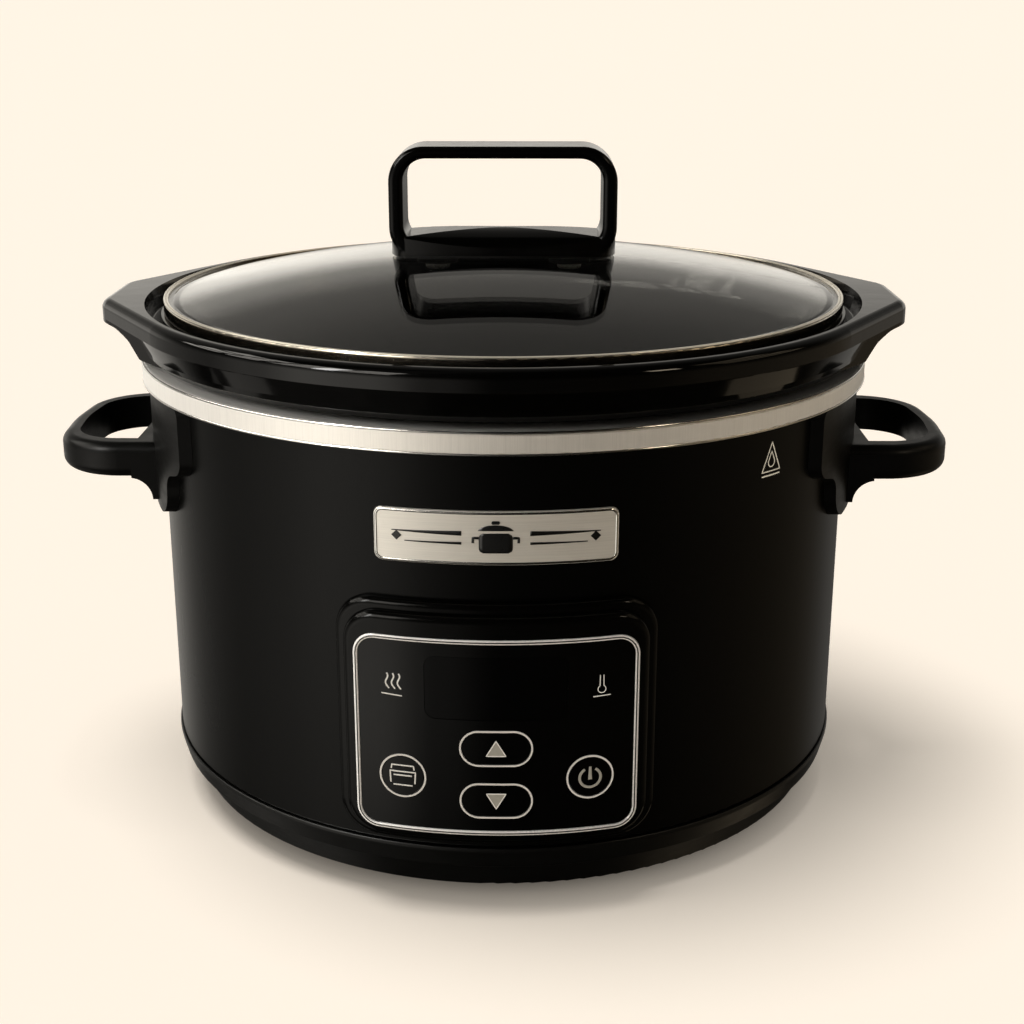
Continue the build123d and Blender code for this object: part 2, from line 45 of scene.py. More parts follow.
# sizes of the CAD model that the added pieces follow, in mm
FACE_R = 132.5            # front of the control panel
WALL_R = 126.0            # outside of the wall
BADGE_R = 127.1           # front of the badge
PANEL_Z = 63.65           # middle of the control panel
TRIM_W, TRIM_H = 90.0, 67.0
KEYS = {"menu": (-29.8, 49.4), "up": (0.0, 60.5), "down": (0.0, 42.3), "power": (29.8, 49.4)}
STROKE_STEP = 0.6         # longest straight stretch of a line drawn on a curved face
STRIP_END = 0.004         # share of a filled shape's height left off at a pointed end

CREAM = (1.0, 0.896, 0.761)  # the backdrop


# ---- node graphs ----------------------------------------------------------------------------------
class Graph:
    """A material's node tree, with short calls for the nodes that this scene needs."""

    def __init__(self, name):
        self.material = bpy.data.materials.new(name)
        self.material.use_nodes = True
        self.tree = self.material.node_tree
        self.shader = self.tree.nodes["Principled BSDF"]
        self.place = self.node("ShaderNodeTexCoord").outputs["Object"]

    def node(self, kind, settings=None, **inputs):
        made = self.tree.nodes.new(kind)
        for key, value in (settings or {}).items():
            setattr(made, key, value)
        for key, value in inputs.items():
            self.put(made.inputs[key.replace("_", " ")], value)
        return made

    def put(self, socket, value):
        if isinstance(value, bpy.types.NodeSocket):
            self.tree.links.new(value, socket)
        else:
            socket.default_value = value

    def stretched(self, scale):
        """The object's own coordinates times a scale for each axis."""
        made = self.node("ShaderNodeMapping", Vector=self.place)
        made.inputs["Scale"].default_value = scale
        return made.outputs["Vector"]

    def noise(self, scale, detail=2.0, rough=0.5, stretch=(1, 1, 1), bend=0.0):
        made = self.node("ShaderNodeTexNoise", Vector=self.stretched(stretch), Scale=scale, Detail=detail,
                         Roughness=rough, Distortion=bend)
        return made.outputs["Fac"]

    def cells(self, scale):
        made = self.node("ShaderNodeTexVoronoi", Vector=self.place, Scale=scale)
        return made.outputs["Distance"]

    def span(self, value, low, high, start=0.0, end=1.0):
        """Maps a value that runs from start to end onto low to high."""
        made = self.node("ShaderNodeMapRange", Value=value)
        for key, number in (("From Min", start), ("From Max", end), ("To Min", low), ("To Max", high)):
            made.inputs[key].default_value = number
        return made.outputs["Result"]

    def mix_colours(self, share, first, second):
        made = self.node("ShaderNodeMix", {"data_type": "RGBA"})
        self.put(made.inputs[0], share)
        self.put(made.inputs[6], first)
        self.put(made.inputs[7], second)
        return made.outputs[2]

    def maths(self, operation, first, second=0.0, clamp=False):
        made = self.node("ShaderNodeMath", {"operation": operation, "use_clamp": clamp})
        self.put(made.inputs[0], first)
        self.put(made.inputs[1], second)
        return made.outputs[0]

    def bump(self, height, depth_mm, strength=1.0, normal=None):
        made = self.node("ShaderNodeBump", Height=height, Distance=depth_mm * MM, Strength=strength)
        if normal:
            self.put(made.inputs["Normal"], normal)
        return made.outputs["Normal"]

    def wear(self, width_mm):
        """1 on outer edges, 0 on flats."""
        bevel = self.node("ShaderNodeBevel", {"samples": 4}, Radius=width_mm * MM).outputs["Normal"]
        plain = self.node("ShaderNodeNewGeometry").outputs["Normal"]
        dot = self.node("ShaderNodeVectorMath", {"operation": "DOT_PRODUCT"})
        self.put(dot.inputs[0], bevel)
        self.put(dot.inputs[1], plain)
        return self.span(dot.outputs["Value"], 1.0, 0.0, 0.80, 0.995)

    def finish(self, **values):
        for key, value in values.items():
            self.put(self.shader.inputs[key.replace("_", " ")], value)
        return self.material


def rgb(r, g, b):
    return (r, g, b, 1.0)


def shade(colour, factor):
    return rgb(*(channel * factor for channel in colour[:3]))


def plastic(name, colour, rough, grain_scale=2600, grain_mm=0.012, drift=0.06, specular=0.5):
    """Moulded plastic: fine spark-eroded grain, faint flow shading and slightly rubbed edges."""
    g = Graph(name)
    grain = g.noise(grain_scale, 3, 0.6)
    flow = g.noise(14, 3, 0.5, (1, 1, 2.2))
    scuffs = g.noise(120, 4, 0.7, (1, 1, 3))
    tone = g.mix_colours(g.span(flow, 0, 1, 0.3, 0.7), shade(colour, 0.86), shade(colour, 1.16))
    finish = g.maths("ADD", g.span(grain, rough - 0.03, rough + 0.03),
                     g.span(scuffs, -drift, drift, 0.3, 0.75))
    return g.finish(Base_Color=tone, Roughness=finish, Specular_IOR_Level=specular,
                    Normal=g.bump(grain, grain_mm, 0.5))


def gloss(name, colour, rough, wave_mm=0.02, specular=0.5):
    """Polished plastic or film: long faint waves, dust specks and hairline marks."""
    g = Graph(name)
    wave = g.noise(38, 2, 0.4)
    dust = g.span(g.noise(1500, 2, 0.5), 0, 1, 0.68, 0.78)
    hairs = g.noise(160, 5, 0.75, (1, 1, 0.25), 1.5)
    tone = g.mix_colours(dust, colour, shade(colour, 1.8))
    finish = g.maths("ADD", g.span(hairs, rough - 0.02, rough + 0.05, 0.35, 0.8),
                     g.span(dust, 0, 0.12))
    return g.finish(Base_Color=tone, Roughness=finish, Specular_IOR_Level=specular,
                    Normal=g.bump(wave, wave_mm, 0.35))


def metal(name, colour, rough, stretch=(1, 1, 1), scale=900, lines_mm=0.004, contrast=0.12, aniso=0.0,
          metallic=1.0):
    """Metal with a rolled, brushed or turned grain along one direction."""
    g = Graph(name)
    lines = g.noise(scale, 4, 0.65, stretch)
    broad = g.noise(scale * 0.12, 3, 0.6, stretch)
    clouds = g.noise(22, 3, 0.5)
    mixed = g.maths("ADD", g.maths("MULTIPLY", lines, 0.65), g.maths("MULTIPLY", broad, 0.35))
    tone = g.mix_colours(g.span(mixed, 0, 1, 0.3, 0.7), shade(colour, 1 - contrast),
                         shade(colour, 1 + contrast * 0.5))
    finish = g.maths("ADD", g.span(mixed, rough - 0.07, rough + 0.07, 0.3, 0.7),
                     g.span(clouds, -0.02, 0.03))
    return g.finish(Base_Color=tone, Metallic=metallic, Roughness=finish, Anisotropic=aniso,
                    Normal=g.bump(mixed, lines_mm, 0.6))


def enamel(name):
    """Baked satin enamel on rolled sheet: orange peel, soft gloss drift, hairlines and a little dust."""
    g = Graph(name)
    peel = g.noise(520, 2, 0.45)
    sheet = g.noise(9, 2, 0.5, (1, 1, 0.35))
    hairs = g.span(g.noise(75, 6, 0.8, (1, 1, 0.15), 2.0), 0, 1, 0.62, 0.8)
    dust = g.span(g.noise(1900, 2, 0.5), 0, 1, 0.7, 0.8)
    colour = rgb(0.0009, 0.0009, 0.0007)
    tone = g.mix_colours(dust, colour, rgb(0.006, 0.006, 0.005))
    finish = g.maths("ADD", g.span(sheet, 0.25, 0.33, 0.3, 0.7), g.span(hairs, 0.0, 0.08))
    return g.finish(Base_Color=tone, Roughness=finish, Specular_IOR_Level=0.12,
                    Normal=g.bump(peel, 0.010, 0.35, g.bump(sheet, 0.15, 0.2)))


def glaze(name):
    """Thick gloss glaze on stoneware: slow waves, a few pinholes, thinner and browner on sharp edges."""
    g = Graph(name)
    wave = g.noise(30, 3, 0.45)
    ripple = g.noise(150, 2, 0.5)
    pits = g.span(g.cells(230), 1, 0, 0.0, 0.06)
    thin = g.maths("MULTIPLY", g.wear(1.2), g.span(g.noise(60, 3, 0.6), 0.1, 0.9, 0.35, 0.7), True)
    tone = g.mix_colours(thin, rgb(0.0008, 0.0008, 0.0007), rgb(0.012, 0.009, 0.006))
    tone = g.mix_colours(g.maths("MULTIPLY", pits, 0.4), tone, rgb(0.015, 0.013, 0.011))
    height = g.maths("ADD", g.maths("MULTIPLY", wave, 0.8), g.maths("MULTIPLY", ripple, 0.08))
    return g.finish(Base_Color=tone, Roughness=g.span(ripple, 0.045, 0.10, 0.3, 0.7),
                    Specular_IOR_Level=0.26, Normal=g.bump(height, 0.32, 0.35))


def glass(name):
    """Clear toughened glass with very slight waviness and faint wiping marks."""
    g = Graph(name)
    wave = g.noise(16, 2, 0.4)
    wiped = g.span(g.noise(50, 5, 0.75, (1, 0.3, 1), 1.2), 0.0, 0.045, 0.55, 0.85)
    tone = g.mix_colours(g.span(wave, 0, 1), rgb(0.93, 0.935, 0.91), rgb(0.96, 0.96, 0.945))
    return g.finish(Base_Color=tone, Roughness=wiped, Transmission_Weight=1.0, IOR=1.47,
                    Normal=g.bump(wave, 0.05, 0.12))


def rubber(name, colour, rough=0.62):
    """Moulded rubber: a fine skin with a pale bloom."""
    g = Graph(name)
    skin = g.noise(1400, 3, 0.6)
    bloom = g.noise(45, 4, 0.6)
    tone = g.mix_colours(g.span(bloom, 0, 1, 0.35, 0.75), colour, shade(colour, 1.7))
    return g.finish(Base_Color=tone, Roughness=g.span(skin, rough - 0.06, rough + 0.08),
                    Specular_IOR_Level=0.35, Normal=g.bump(skin, 0.02, 0.5))


def felt(name):
    """Needled glass-fibre felt: crossed fibres and soft lumps."""
    g = Graph(name)
    one = g.noise(900, 5, 0.75, (1, 1, 0.12), 1.0)
    two = g.noise(900, 5, 0.75, (0.12, 0.12, 1), 1.0)
    lumps = g.noise(70, 3, 0.6)
    fibres = g.maths("MAXIMUM", one, two)
    tone = g.mix_colours(g.span(fibres, 0, 1, 0.45, 0.75), rgb(0.50, 0.47, 0.40), rgb(0.82, 0.80, 0.74))
    height = g.maths("ADD", g.maths("MULTIPLY", fibres, 0.4), g.maths("MULTIPLY", lumps, 0.6))
    return g.finish(Base_Color=tone, Roughness=g.span(lumps, 0.82, 0.98), Sheen_Weight=0.2,
                    Normal=g.bump(height, 0.5, 0.8))


def board(name, mask, track):
    """Circuit board: lacquer over copper tracks, with tinned pads."""
    g = Graph(name)
    bricks = g.node("ShaderNodeTexBrick", {"offset": 0.5}, Vector=g.stretched((1, 1, 1)), Scale=110.0)
    for key, value in (("Mortar Size", 0.05), ("Mortar Smooth", 0.1), ("Row Height", 0.42),
                       ("Brick Width", 1.3)):
        bricks.inputs[key].default_value = value
    pads = g.span(g.cells(260), 1, 0, 0.10, 0.16)
    tone = g.mix_colours(bricks.outputs["Fac"], mask, track)
    tone = g.mix_colours(pads, tone, rgb(0.62, 0.60, 0.55))
    weave = g.noise(1200, 2, 0.5)
    height = g.maths("ADD", bricks.outputs["Fac"], pads)
    return g.finish(Base_Color=tone, Metallic=g.maths("MULTIPLY", pads, 0.9),
                    Roughness=g.span(weave, 0.22, 0.38), Normal=g.bump(height, 0.03, 0.6))


def ink(name, colour, rough, painted_glow=0.0):
    """Screen-printed ink: a slightly uneven film with a fine mesh grain, and an optional painted glow."""
    g = Graph(name)
    film = g.noise(700, 3, 0.6)
    mesh = g.cells(5200)
    tone = g.mix_colours(g.span(film, 0, 1, 0.3, 0.7), shade(colour, 0.90), shade(colour, 1.04))
    made = g.finish(Base_Color=tone, Roughness=g.span(film, rough - 0.05, rough + 0.08),
                    Normal=g.bump(mesh, 0.004, 0.3))
    # painted glow: the ink emits light of its own colour, which makes the print brighter than the lamps do
    if painted_glow:
        g.finish(Emission_Color=tone, Emission_Strength=painted_glow)
    return made


BLACK = rgb(0.0012, 0.0012, 0.0010)
HANDLE_BLACK = rgb(0.0022, 0.0022, 0.0020)
FILM_BLACK = rgb(0.0008, 0.0008, 0.0007)
MATERIALS = {
    "outer_wall": enamel("enamel"),
    "steel_band": metal("band_steel", rgb(0.90, 0.87, 0.81), rough=0.36, stretch=(1, 1, 0.02), scale=3400,
                        lines_mm=0.003, contrast=0.10, aniso=0.4, metallic=0.5),
    "badge_plate": metal("badge_steel", rgb(0.82, 0.79, 0.72), rough=0.36, stretch=(0.012, 0.012, 1),
                         scale=3200, lines_mm=0.004, contrast=0.13, aniso=0.3, metallic=0.45),
    "crock": glaze("crock_glaze"),
    "lid_glass": glass("lid_glass"),
    "lid_rim": metal("rim_steel", rgb(0.66, 0.60, 0.50), rough=0.16, stretch=(0.2, 0.2, 1), scale=900,
                     lines_mm=0.003, contrast=0.08, metallic=1.0),
    "lid_handle": gloss("lid_handle_plastic", BLACK, rough=0.14, wave_mm=0.03, specular=0.14),
    "side_handle_left": plastic("handle_plastic_left", HANDLE_BLACK, rough=0.36,
                                grain_scale=2200, grain_mm=0.014, specular=0.16),
    "side_handle_right": plastic("handle_plastic_right", HANDLE_BLACK, rough=0.36,
                                 grain_scale=2200, grain_mm=0.014, specular=0.16),
    "base_shell": plastic("base_plastic", rgb(0.0026, 0.0026, 0.0023), rough=0.34, grain_scale=2400,
                          grain_mm=0.010, specular=0.3),
    "control_bezel": plastic("bezel_plastic", BLACK, rough=0.16, grain_scale=3000,
                             grain_mm=0.003, drift=0.03, specular=0.13),
    "fascia": gloss("fascia_film", FILM_BLACK, rough=0.10, specular=0.2),
    "display_window": gloss("window_film", rgb(0.0006, 0.0006, 0.0006), rough=0.08, specular=0.16),
    "fascia_trim": metal("trim_bright", rgb(0.90, 0.885, 0.85), rough=0.25, scale=1400, lines_mm=0.002,
                         contrast=0.05, metallic=0.15),
    "key_rings": metal("ring_bright", rgb(0.93, 0.915, 0.88), rough=0.3, scale=1400, lines_mm=0.002,
                       contrast=0.04, metallic=0.05),
    "base_plate": plastic("floor_coat", rgb(0.02, 0.02, 0.019), rough=0.5, grain_scale=1500,
                          grain_mm=0.02),
    "rubber_feet": rubber("foot_rubber", rgb(0.016, 0.016, 0.015)),
    "handle_gasket": rubber("gasket_silicone", rgb(0.012, 0.012, 0.012), rough=0.5),
    "lid_washers": rubber("washer_silicone", rgb(0.05, 0.05, 0.048), rough=0.5),
    "cord_gland": plastic("gland_plastic", rgb(0.01, 0.01, 0.01), rough=0.42, grain_scale=2000,
                          grain_mm=0.015),
    "heating_liner": metal("well_aluminium", rgb(0.62, 0.62, 0.61), rough=0.38, stretch=(0.15, 0.15, 1),
                           scale=700, lines_mm=0.006, contrast=0.12),
    "heating_element": metal("element_steel", rgb(0.50, 0.46, 0.40), rough=0.42, stretch=(0.1, 0.1, 1),
                             scale=500, lines_mm=0.01, contrast=0.2),
    "element_clamp": metal("clamp_steel", rgb(0.60, 0.60, 0.60), rough=0.3, stretch=(0.1, 0.1, 1),
                           scale=800, lines_mm=0.004),
    "insulation_wrap": felt("glass_felt"),
    "temperature_sensor": metal("sensor_aluminium", rgb(0.68, 0.68, 0.69), rough=0.3, scale=900,
                                lines_mm=0.004),
    "sensor_spring": metal("spring_steel", rgb(0.55, 0.55, 0.57), rough=0.3, stretch=(0.1, 1, 1),
                           scale=900, lines_mm=0.004),
    "thermal_fuse": metal("fuse_brass", rgb(0.72, 0.55, 0.28), rough=0.3, scale=900, lines_mm=0.004),
    "fuse_clip": metal("clip_steel", rgb(0.55, 0.55, 0.57), rough=0.32, stretch=(1, 1, 0.2), scale=900,
                       lines_mm=0.004),
    "well_standoffs": metal("standoff_aluminium", rgb(0.66, 0.66, 0.67), rough=0.32,
                            stretch=(0.3, 0.3, 1), scale=1600, lines_mm=0.006),
    "power_board": board("phenolic_board", rgb(0.36, 0.22, 0.08), rgb(0.20, 0.11, 0.04)),
    "control_board": board("green_board", rgb(0.012, 0.10, 0.035), rgb(0.02, 0.16, 0.06)),
    "board_posts": plastic("nylon", rgb(0.74, 0.72, 0.66), rough=0.4, grain_scale=1800, grain_mm=0.01),
    "relay": gloss("relay_case", rgb(0.02, 0.09, 0.32), rough=0.22),
    "transformer": metal("laminations", rgb(0.22, 0.20, 0.18), rough=0.45, stretch=(0.02, 1, 1),
                         scale=1800, lines_mm=0.05, contrast=0.3),
    "capacitor": gloss("capacitor_sleeve", rgb(0.015, 0.015, 0.03), rough=0.25),
    "terminal_block": plastic("terminal_plastic", rgb(0.03, 0.22, 0.09), rough=0.4, grain_scale=1800,
                              grain_mm=0.01),
    "tact_switches": plastic("switch_plastic", rgb(0.02, 0.02, 0.02), rough=0.45, grain_scale=2500,
                             grain_mm=0.01),
    "display_module": gloss("segment_block", rgb(0.02, 0.02, 0.02), rough=0.3),
    "processor": plastic("chip_epoxy", rgb(0.015, 0.015, 0.016), rough=0.5, grain_scale=2500,
                         grain_mm=0.01),
}
for screws in ("base_screws", "standoff_screws", "handle_screws", "lid_screws"):
    MATERIALS[screws] = metal(screws + "_steel", rgb(0.58, 0.57, 0.55), rough=0.3, scale=1300, lines_mm=0.005)
for key in KEYS:
    MATERIALS["key_" + key] = gloss("key_film_" + key, FILM_BLACK, rough=0.10, specular=0.2)

for node, obj in NODES.items():
    for entry in obj.material_slots:
        entry.material = MATERIALS[node]


# ---- pieces ---------------------------------------------------------------------------------------
def piece(name, bm, material, body, thickness_mm=0.0):
    """Turns a bmesh in metres into a piece that rides on a body."""
    mesh = bpy.data.meshes.new(name)
    bmesh.ops.recalc_face_normals(bm, faces=bm.faces)
    bm.to_mesh(mesh)
    bm.free()
    for polygon in mesh.polygons:
        polygon.use_smooth = True
    mesh.materials.append(material)
    obj = bpy.data.objects.new(name, mesh)
    bpy.context.scene.collection.objects.link(obj)
    if thickness_mm:
        solid = obj.modifiers.new("thickness", "SOLIDIFY")
        solid.thickness = thickness_mm * MM
        solid.offset = 0.0
    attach(obj, body)
    return obj


def on_front(x, z, radius):
    """A point of a sketch, in mm, on a cylinder about the axis, in metres."""
    return Vector((x, -math.sqrt(radius * radius - x * x), z)) * MM


def on_side(arc, z, radius, turn):
    """As on_front, about a direction turned from the front, and with x along the arc."""
    angle = arc / radius + turn
    return Vector((math.sin(angle) * radius, -math.cos(angle) * radius, z)) * MM


def resampled(points, step):
    """The same line with points no further apart than step."""
    dense = [Vector(points[0])]
    for a, b in zip(points, points[1:]):
        a, b = Vector(a), Vector(b)
        count = max(1, math.ceil((b - a).length / step))
        dense += [a.lerp(b, i / count) for i in range(1, count + 1)]
    return dense


def stroke(bm, points, width, where, closed=False):
    """Adds a ribbon of that width along a line of (x, z) points. width may be a pair, start and end."""
    line = resampled(list(points) + ([points[0]] if closed else []), STROKE_STEP)
    if closed:
        line.pop()
    count = len(line)
    wide, narrow = width if isinstance(width, tuple) else (width, width)
    pairs = []
    for i, p in enumerate(line):
        before = line[(i - 1) % count] if closed or i else line[0]
        after = line[(i + 1) % count] if closed or i < count - 1 else line[-1]
        run = (after - before).normalized()
        half = (wide + (narrow - wide) * i / max(1, count - 1)) / 2
        normal = Vector((-run.y, run.x)) * half
        first, second = p + normal, p - normal
        pairs.append((bm.verts.new(where(first.x, first.y)), bm.verts.new(where(second.x, second.y))))
    for i in range(count if closed else count - 1):
        (a, b), (c, d) = pairs[i], pairs[(i + 1) % count]
        bm.faces.new((a, b, d, c))
    return bm


def filled(bm, outline, where):
    """Adds a filled convex shape as level strips, so that it follows the cylinder."""
    rows, columns = 10, 8
    low, high = min(p[1] for p in outline), max(p[1] for p in outline)
    grid = []
    for i in range(rows + 1):
        z = low + (high - low) * min(max(i / rows, STRIP_END), 1 - STRIP_END)
        cuts = []
        for (x0, z0), (x1, z1) in zip(outline, outline[1:] + outline[:1]):
            if (z0 - z) * (z1 - z) <= 0 and z0 != z1:
                cuts.append(x0 + (x1 - x0) * (z - z0) / (z1 - z0))
        left, right = min(cuts), max(cuts)
        grid.append([bm.verts.new(where(left + (right - left) * k / columns, z)) for k in range(columns + 1)])
    for lower, upper in zip(grid, grid[1:]):
        for k in range(columns):
            bm.faces.new((lower[k], lower[k + 1], upper[k + 1], upper[k]))
    return bm


def arc_points(cx, cz, radius, start, end, count):
    """Points of an arc. Angles are in degrees, 0 along +x and 90 up."""
    angles = [math.radians(start + (end - start) * i / count) for i in range(count + 1)]
    return [(cx + radius * math.cos(a), cz + radius * math.sin(a)) for a in angles]


def rounded_box(cx, cz, width, height, radius):
    """Points of a rectangle with round corners."""
    points = []
    for sx, sz, start in ((1, 1, 0), (-1, 1, 90), (-1, -1, 180), (1, -1, 270)):
        points += arc_points(cx + sx * (width / 2 - radius), cz + sz * (height / 2 - radius), radius,
                             start, start + 90, 6)
    return points


# The white, grey and label inks carry a painted glow, so these marks read brighter than the lamps light them;
# the black ink has none.
WHITE_INK_PAINTED_GLOW = ink("mark_white_painted_glow", rgb(0.83, 0.81, 0.76), rough=0.4, painted_glow=0.12)
GREY_INK_PAINTED_GLOW = ink("mark_grey_painted_glow", rgb(0.40, 0.385, 0.33), rough=0.4, painted_glow=0.05)
DARK = ink("mark_black", rgb(0.004, 0.004, 0.004), rough=0.28)
CREAM_INK_PAINTED_GLOW = ink("mark_label_painted_glow", rgb(0.78, 0.74, 0.62), rough=0.4, painted_glow=0.10)
GROOVE_INK = ink("groove_dark", rgb(0.02, 0.02, 0.018), rough=0.4)

PANEL = FACE_R - 0.16     # the fascia's front, less half a mark's thickness
CAP = FACE_R - 0.01       # the keys' fronts
PRINT = 0.05              # thickness of printed marks
RAISED = 0.16             # thickness of the badge's border and emblem
ARC_STEPS = 20            # points on the bulb, the drop and the pot's lid
BADGE_Z = 128.4
MARK_TURN = math.radians(44.4)


def on_panel(x, z):
    return on_front(x, z, PANEL)


def on_cap(x, z):
    return on_front(x, z, CAP)


def on_mark(x, z):
    return on_side(x, z, WALL_R + 0.03, MARK_TURN)


def on_badge(x, z):
    return on_front(x, z, BADGE_R + 0.03)


def arrow_marks(name, flip):
    """A grey triangle with a thin pale outline. flip is 1 for up and -1 for down."""
    x, z = KEYS[name]
    body = "key_" + name
    corners = [(x - 3.1, z - 2.5 * flip), (x + 3.1, z - 2.5 * flip), (x, z + 2.7 * flip)]
    fill = filled(bmesh.new(), corners, on_cap)
    edge = stroke(bmesh.new(), corners, 0.36, lambda a, b: on_front(a, b, CAP + 0.02), closed=True)
    piece("mark_%s_fill" % name, fill, GREY_INK_PAINTED_GLOW, body, PRINT)
    piece("mark_%s_edge" % name, edge, WHITE_INK_PAINTED_GLOW, body, PRINT)


def power_mark():
    """A broken ring and a bar."""
    x, z = KEYS["power"]
    bm = stroke(bmesh.new(), arc_points(x, z - 0.2, 3.35, 120, 420, 48), 0.85, on_cap)
    stroke(bm, [(x, z + 3.6), (x, z - 0.9)], (0.75, 1.25), on_cap)
    piece("mark_power", bm, GREY_INK_PAINTED_GLOW, "key_power", PRINT)


def menu_mark():
    """A lidded pot in outline, with a shelf line."""
    x, z = KEYS["menu"]
    lid = [(-3.7, 2.2), (-3.5, 3.6), (3.5, 3.6), (3.7, 2.2)]
    pot = [(-3.9, -2.6), (-4.1, 1.4), (4.1, 1.4), (3.9, -2.6)]
    level = [(-3.0, 0.1), (3.0, 0.1)]
    shelf = [(-3.1, -3.3), (3.1, -3.3)]
    bm = bmesh.new()
    for line in (lid, pot, level, shelf):
        stroke(bm, [(x + a, z + b) for a, b in line], 0.46, on_cap)
    piece("mark_menu", bm, WHITE_INK_PAINTED_GLOW, "key_menu", PRINT)


def heat_mark():
    """Three rising waves over a line."""
    middle, top, height, steps = -32.7, 84.4, 5.2, 12
    bm = bmesh.new()
    for offset in (-1.9, 0.0, 1.9):
        wave = [(middle + offset + 0.55 * math.sin(t * math.tau / steps + 0.6) + 0.06 * t,
                 top - t * height / steps) for t in range(steps + 1)]
        stroke(bm, wave, 0.5, on_panel)
    stroke(bm, [(-36.1, 77.4), (-29.5, 77.0)], 0.42, on_panel)
    piece("mark_heat", bm, WHITE_INK_PAINTED_GLOW, "housing", PRINT)


def temperature_mark():
    """A thin thermometer over a line."""
    middle, half_w, top = 33.1, 0.55, 84.2
    bulb = arc_points(middle, 79.4, 1.25, 120, 420, ARC_STEPS)
    bm = stroke(bmesh.new(), [(middle - half_w, top)] + bulb + [(middle + half_w, top)], 0.27, on_panel)
    stroke(bm, [(30.4, 77.0), (35.9, 77.3)], 0.32, on_panel)
    piece("mark_temperature", bm, WHITE_INK_PAINTED_GLOW, "housing", PRINT)


def warning_mark():
    """On the wall: a plain triangle with a drop, and a line under it. It has no lettering."""
    half_w, low = 4.6, 139.6
    bm = stroke(bmesh.new(), [(-half_w, low), (half_w, low), (0.0, 149.2)], 0.42, on_mark, closed=True)
    drop = [(0.0, 146.2)] + arc_points(0.0, 142.6, 1.6, 35, -215, ARC_STEPS)
    stroke(bm, drop, 0.38, on_mark, closed=True)
    stroke(bm, [(-half_w, low - 1.4), (half_w, low - 1.4)], 0.5, on_mark)
    piece("mark_warning", bm, CREAM_INK_PAINTED_GLOW, "housing", PRINT)


def badge_marks():
    """A bright raised border, and a plain pot between tapered rules that end in diamonds."""
    border = metal("badge_border", rgb(0.88, 0.87, 0.83), rough=0.16, scale=1500, lines_mm=0.002,
                   contrast=0.06)
    rim = stroke(bmesh.new(), rounded_box(0, BADGE_Z, 74.2, 16.0, 2.2), 0.7,
                 lambda a, b: on_front(a, b, BADGE_R + 0.02), closed=True)
    piece("badge_rim", rim, border, "housing", RAISED)

    lid_z, lid_flat = BADGE_Z + 2.0, 0.42
    rule_start, diamond_x, diamond = 10.5, 30.6, 1.6
    bm = bmesh.new()
    filled(bm, rounded_box(0, BADGE_Z - 1.5, 10.4, 6.4, 1.5), on_badge)
    filled(bm, arc_points(0, lid_z, 5.6, 12, 168, ARC_STEPS),
           lambda a, b: on_badge(a, lid_z + (b - lid_z) * lid_flat))
    filled(bm, rounded_box(0, BADGE_Z + 5.1, 2.6, 1.1, 0.5), on_badge)
    for side in (-1, 1):
        stroke(bm, [(side * 5.2, BADGE_Z + 0.2), (side * 7.0, BADGE_Z + 0.2), (side * 7.0, BADGE_Z - 1.4)],
               0.8, on_badge)
        for level, reach, width in ((1.6, 21.6, 1.5), (-1.6, 17.6, 0.8)):
            rule = [(side * rule_start, BADGE_Z + level), (side * (rule_start + reach), BADGE_Z + level)]
            stroke(bm, rule, (width, 0.25), on_badge)
        x = side * diamond_x
        filled(bm, [(x - diamond, BADGE_Z), (x, BADGE_Z - diamond), (x + diamond, BADGE_Z),
                    (x, BADGE_Z + diamond)], on_badge)
    piece("badge_emblem", bm, DARK, "housing", RAISED)


def trim_groove():
    """The dark line inside the fascia's silver line."""
    inset = 1.4
    line = rounded_box(0, PANEL_Z, TRIM_W - inset, TRIM_H - inset, 6.3)
    bm = stroke(bmesh.new(), line, 0.42, lambda a, b: on_front(a, b, FACE_R + 0.35), closed=True)
    piece("trim_groove", bm, GROOVE_INK, "housing", 0.04)


def ring(name, radius, z, tube, material, body):
    """A closed bead about the axis."""
    steps, sides = 192, 10
    bm = bmesh.new()
    rows = []
    for i in range(steps):
        a = math.tau * i / steps
        row = []
        for k in range(sides):
            b = math.tau * k / sides
            r = radius + tube * math.cos(b)
            row.append(bm.verts.new(Vector((r * math.cos(a), r * math.sin(a), z + tube * math.sin(b))) * MM))
        rows.append(row)
    for i in range(steps):
        one, two = rows[i], rows[(i + 1) % steps]
        for k in range(sides):
            bm.faces.new((one[k], two[k], two[(k + 1) % sides], one[(k + 1) % sides]))
    return piece(name, bm, material, body)


def beads():
    """Bright beads on the edges of the steel band, and a double bead on the lid's rim."""
    silver = metal("band_bead", rgb(0.90, 0.885, 0.85), rough=0.14, scale=1500, lines_mm=0.002, contrast=0.05)
    gold = metal("lid_bead", rgb(0.90, 0.83, 0.69), rough=0.18, scale=1500, lines_mm=0.002, contrast=0.06,
                 metallic=0.5)
    ring("band_bead_top", 131.75, 162.85, 0.42, silver, "housing")
    ring("band_bead_bottom", 131.75, 156.15, 0.42, silver, "housing")
    ring("lid_bead_outer", 122.65, 183.50, 0.36, gold, "lid")
    ring("lid_bead_inner", 121.65, 183.50, 0.30, gold, "lid")


arrow_marks("up", 1)
arrow_marks("down", -1)
power_mark()
menu_mark()
heat_mark()
temperature_mark()
warning_mark()
badge_marks()
trim_groove()
beads()


# ---- floor, light and camera ------------------------------------------------------------------------
COOL = (1.0, 0.975, 0.93)
WARM = (1.0, 0.83, 0.60)
PANE_LEVEL = 7.0          # brightness of the window panes, where white is 1
SKY_LEVEL = 0.10          # soft light from all round, as matt surfaces get it
FLOOR_GLOW = 0.30         # lifts the open floor to the cream of the backdrop
FLOOR_HALF = 400.0        # far enough for the floor to meet the backdrop out of sight

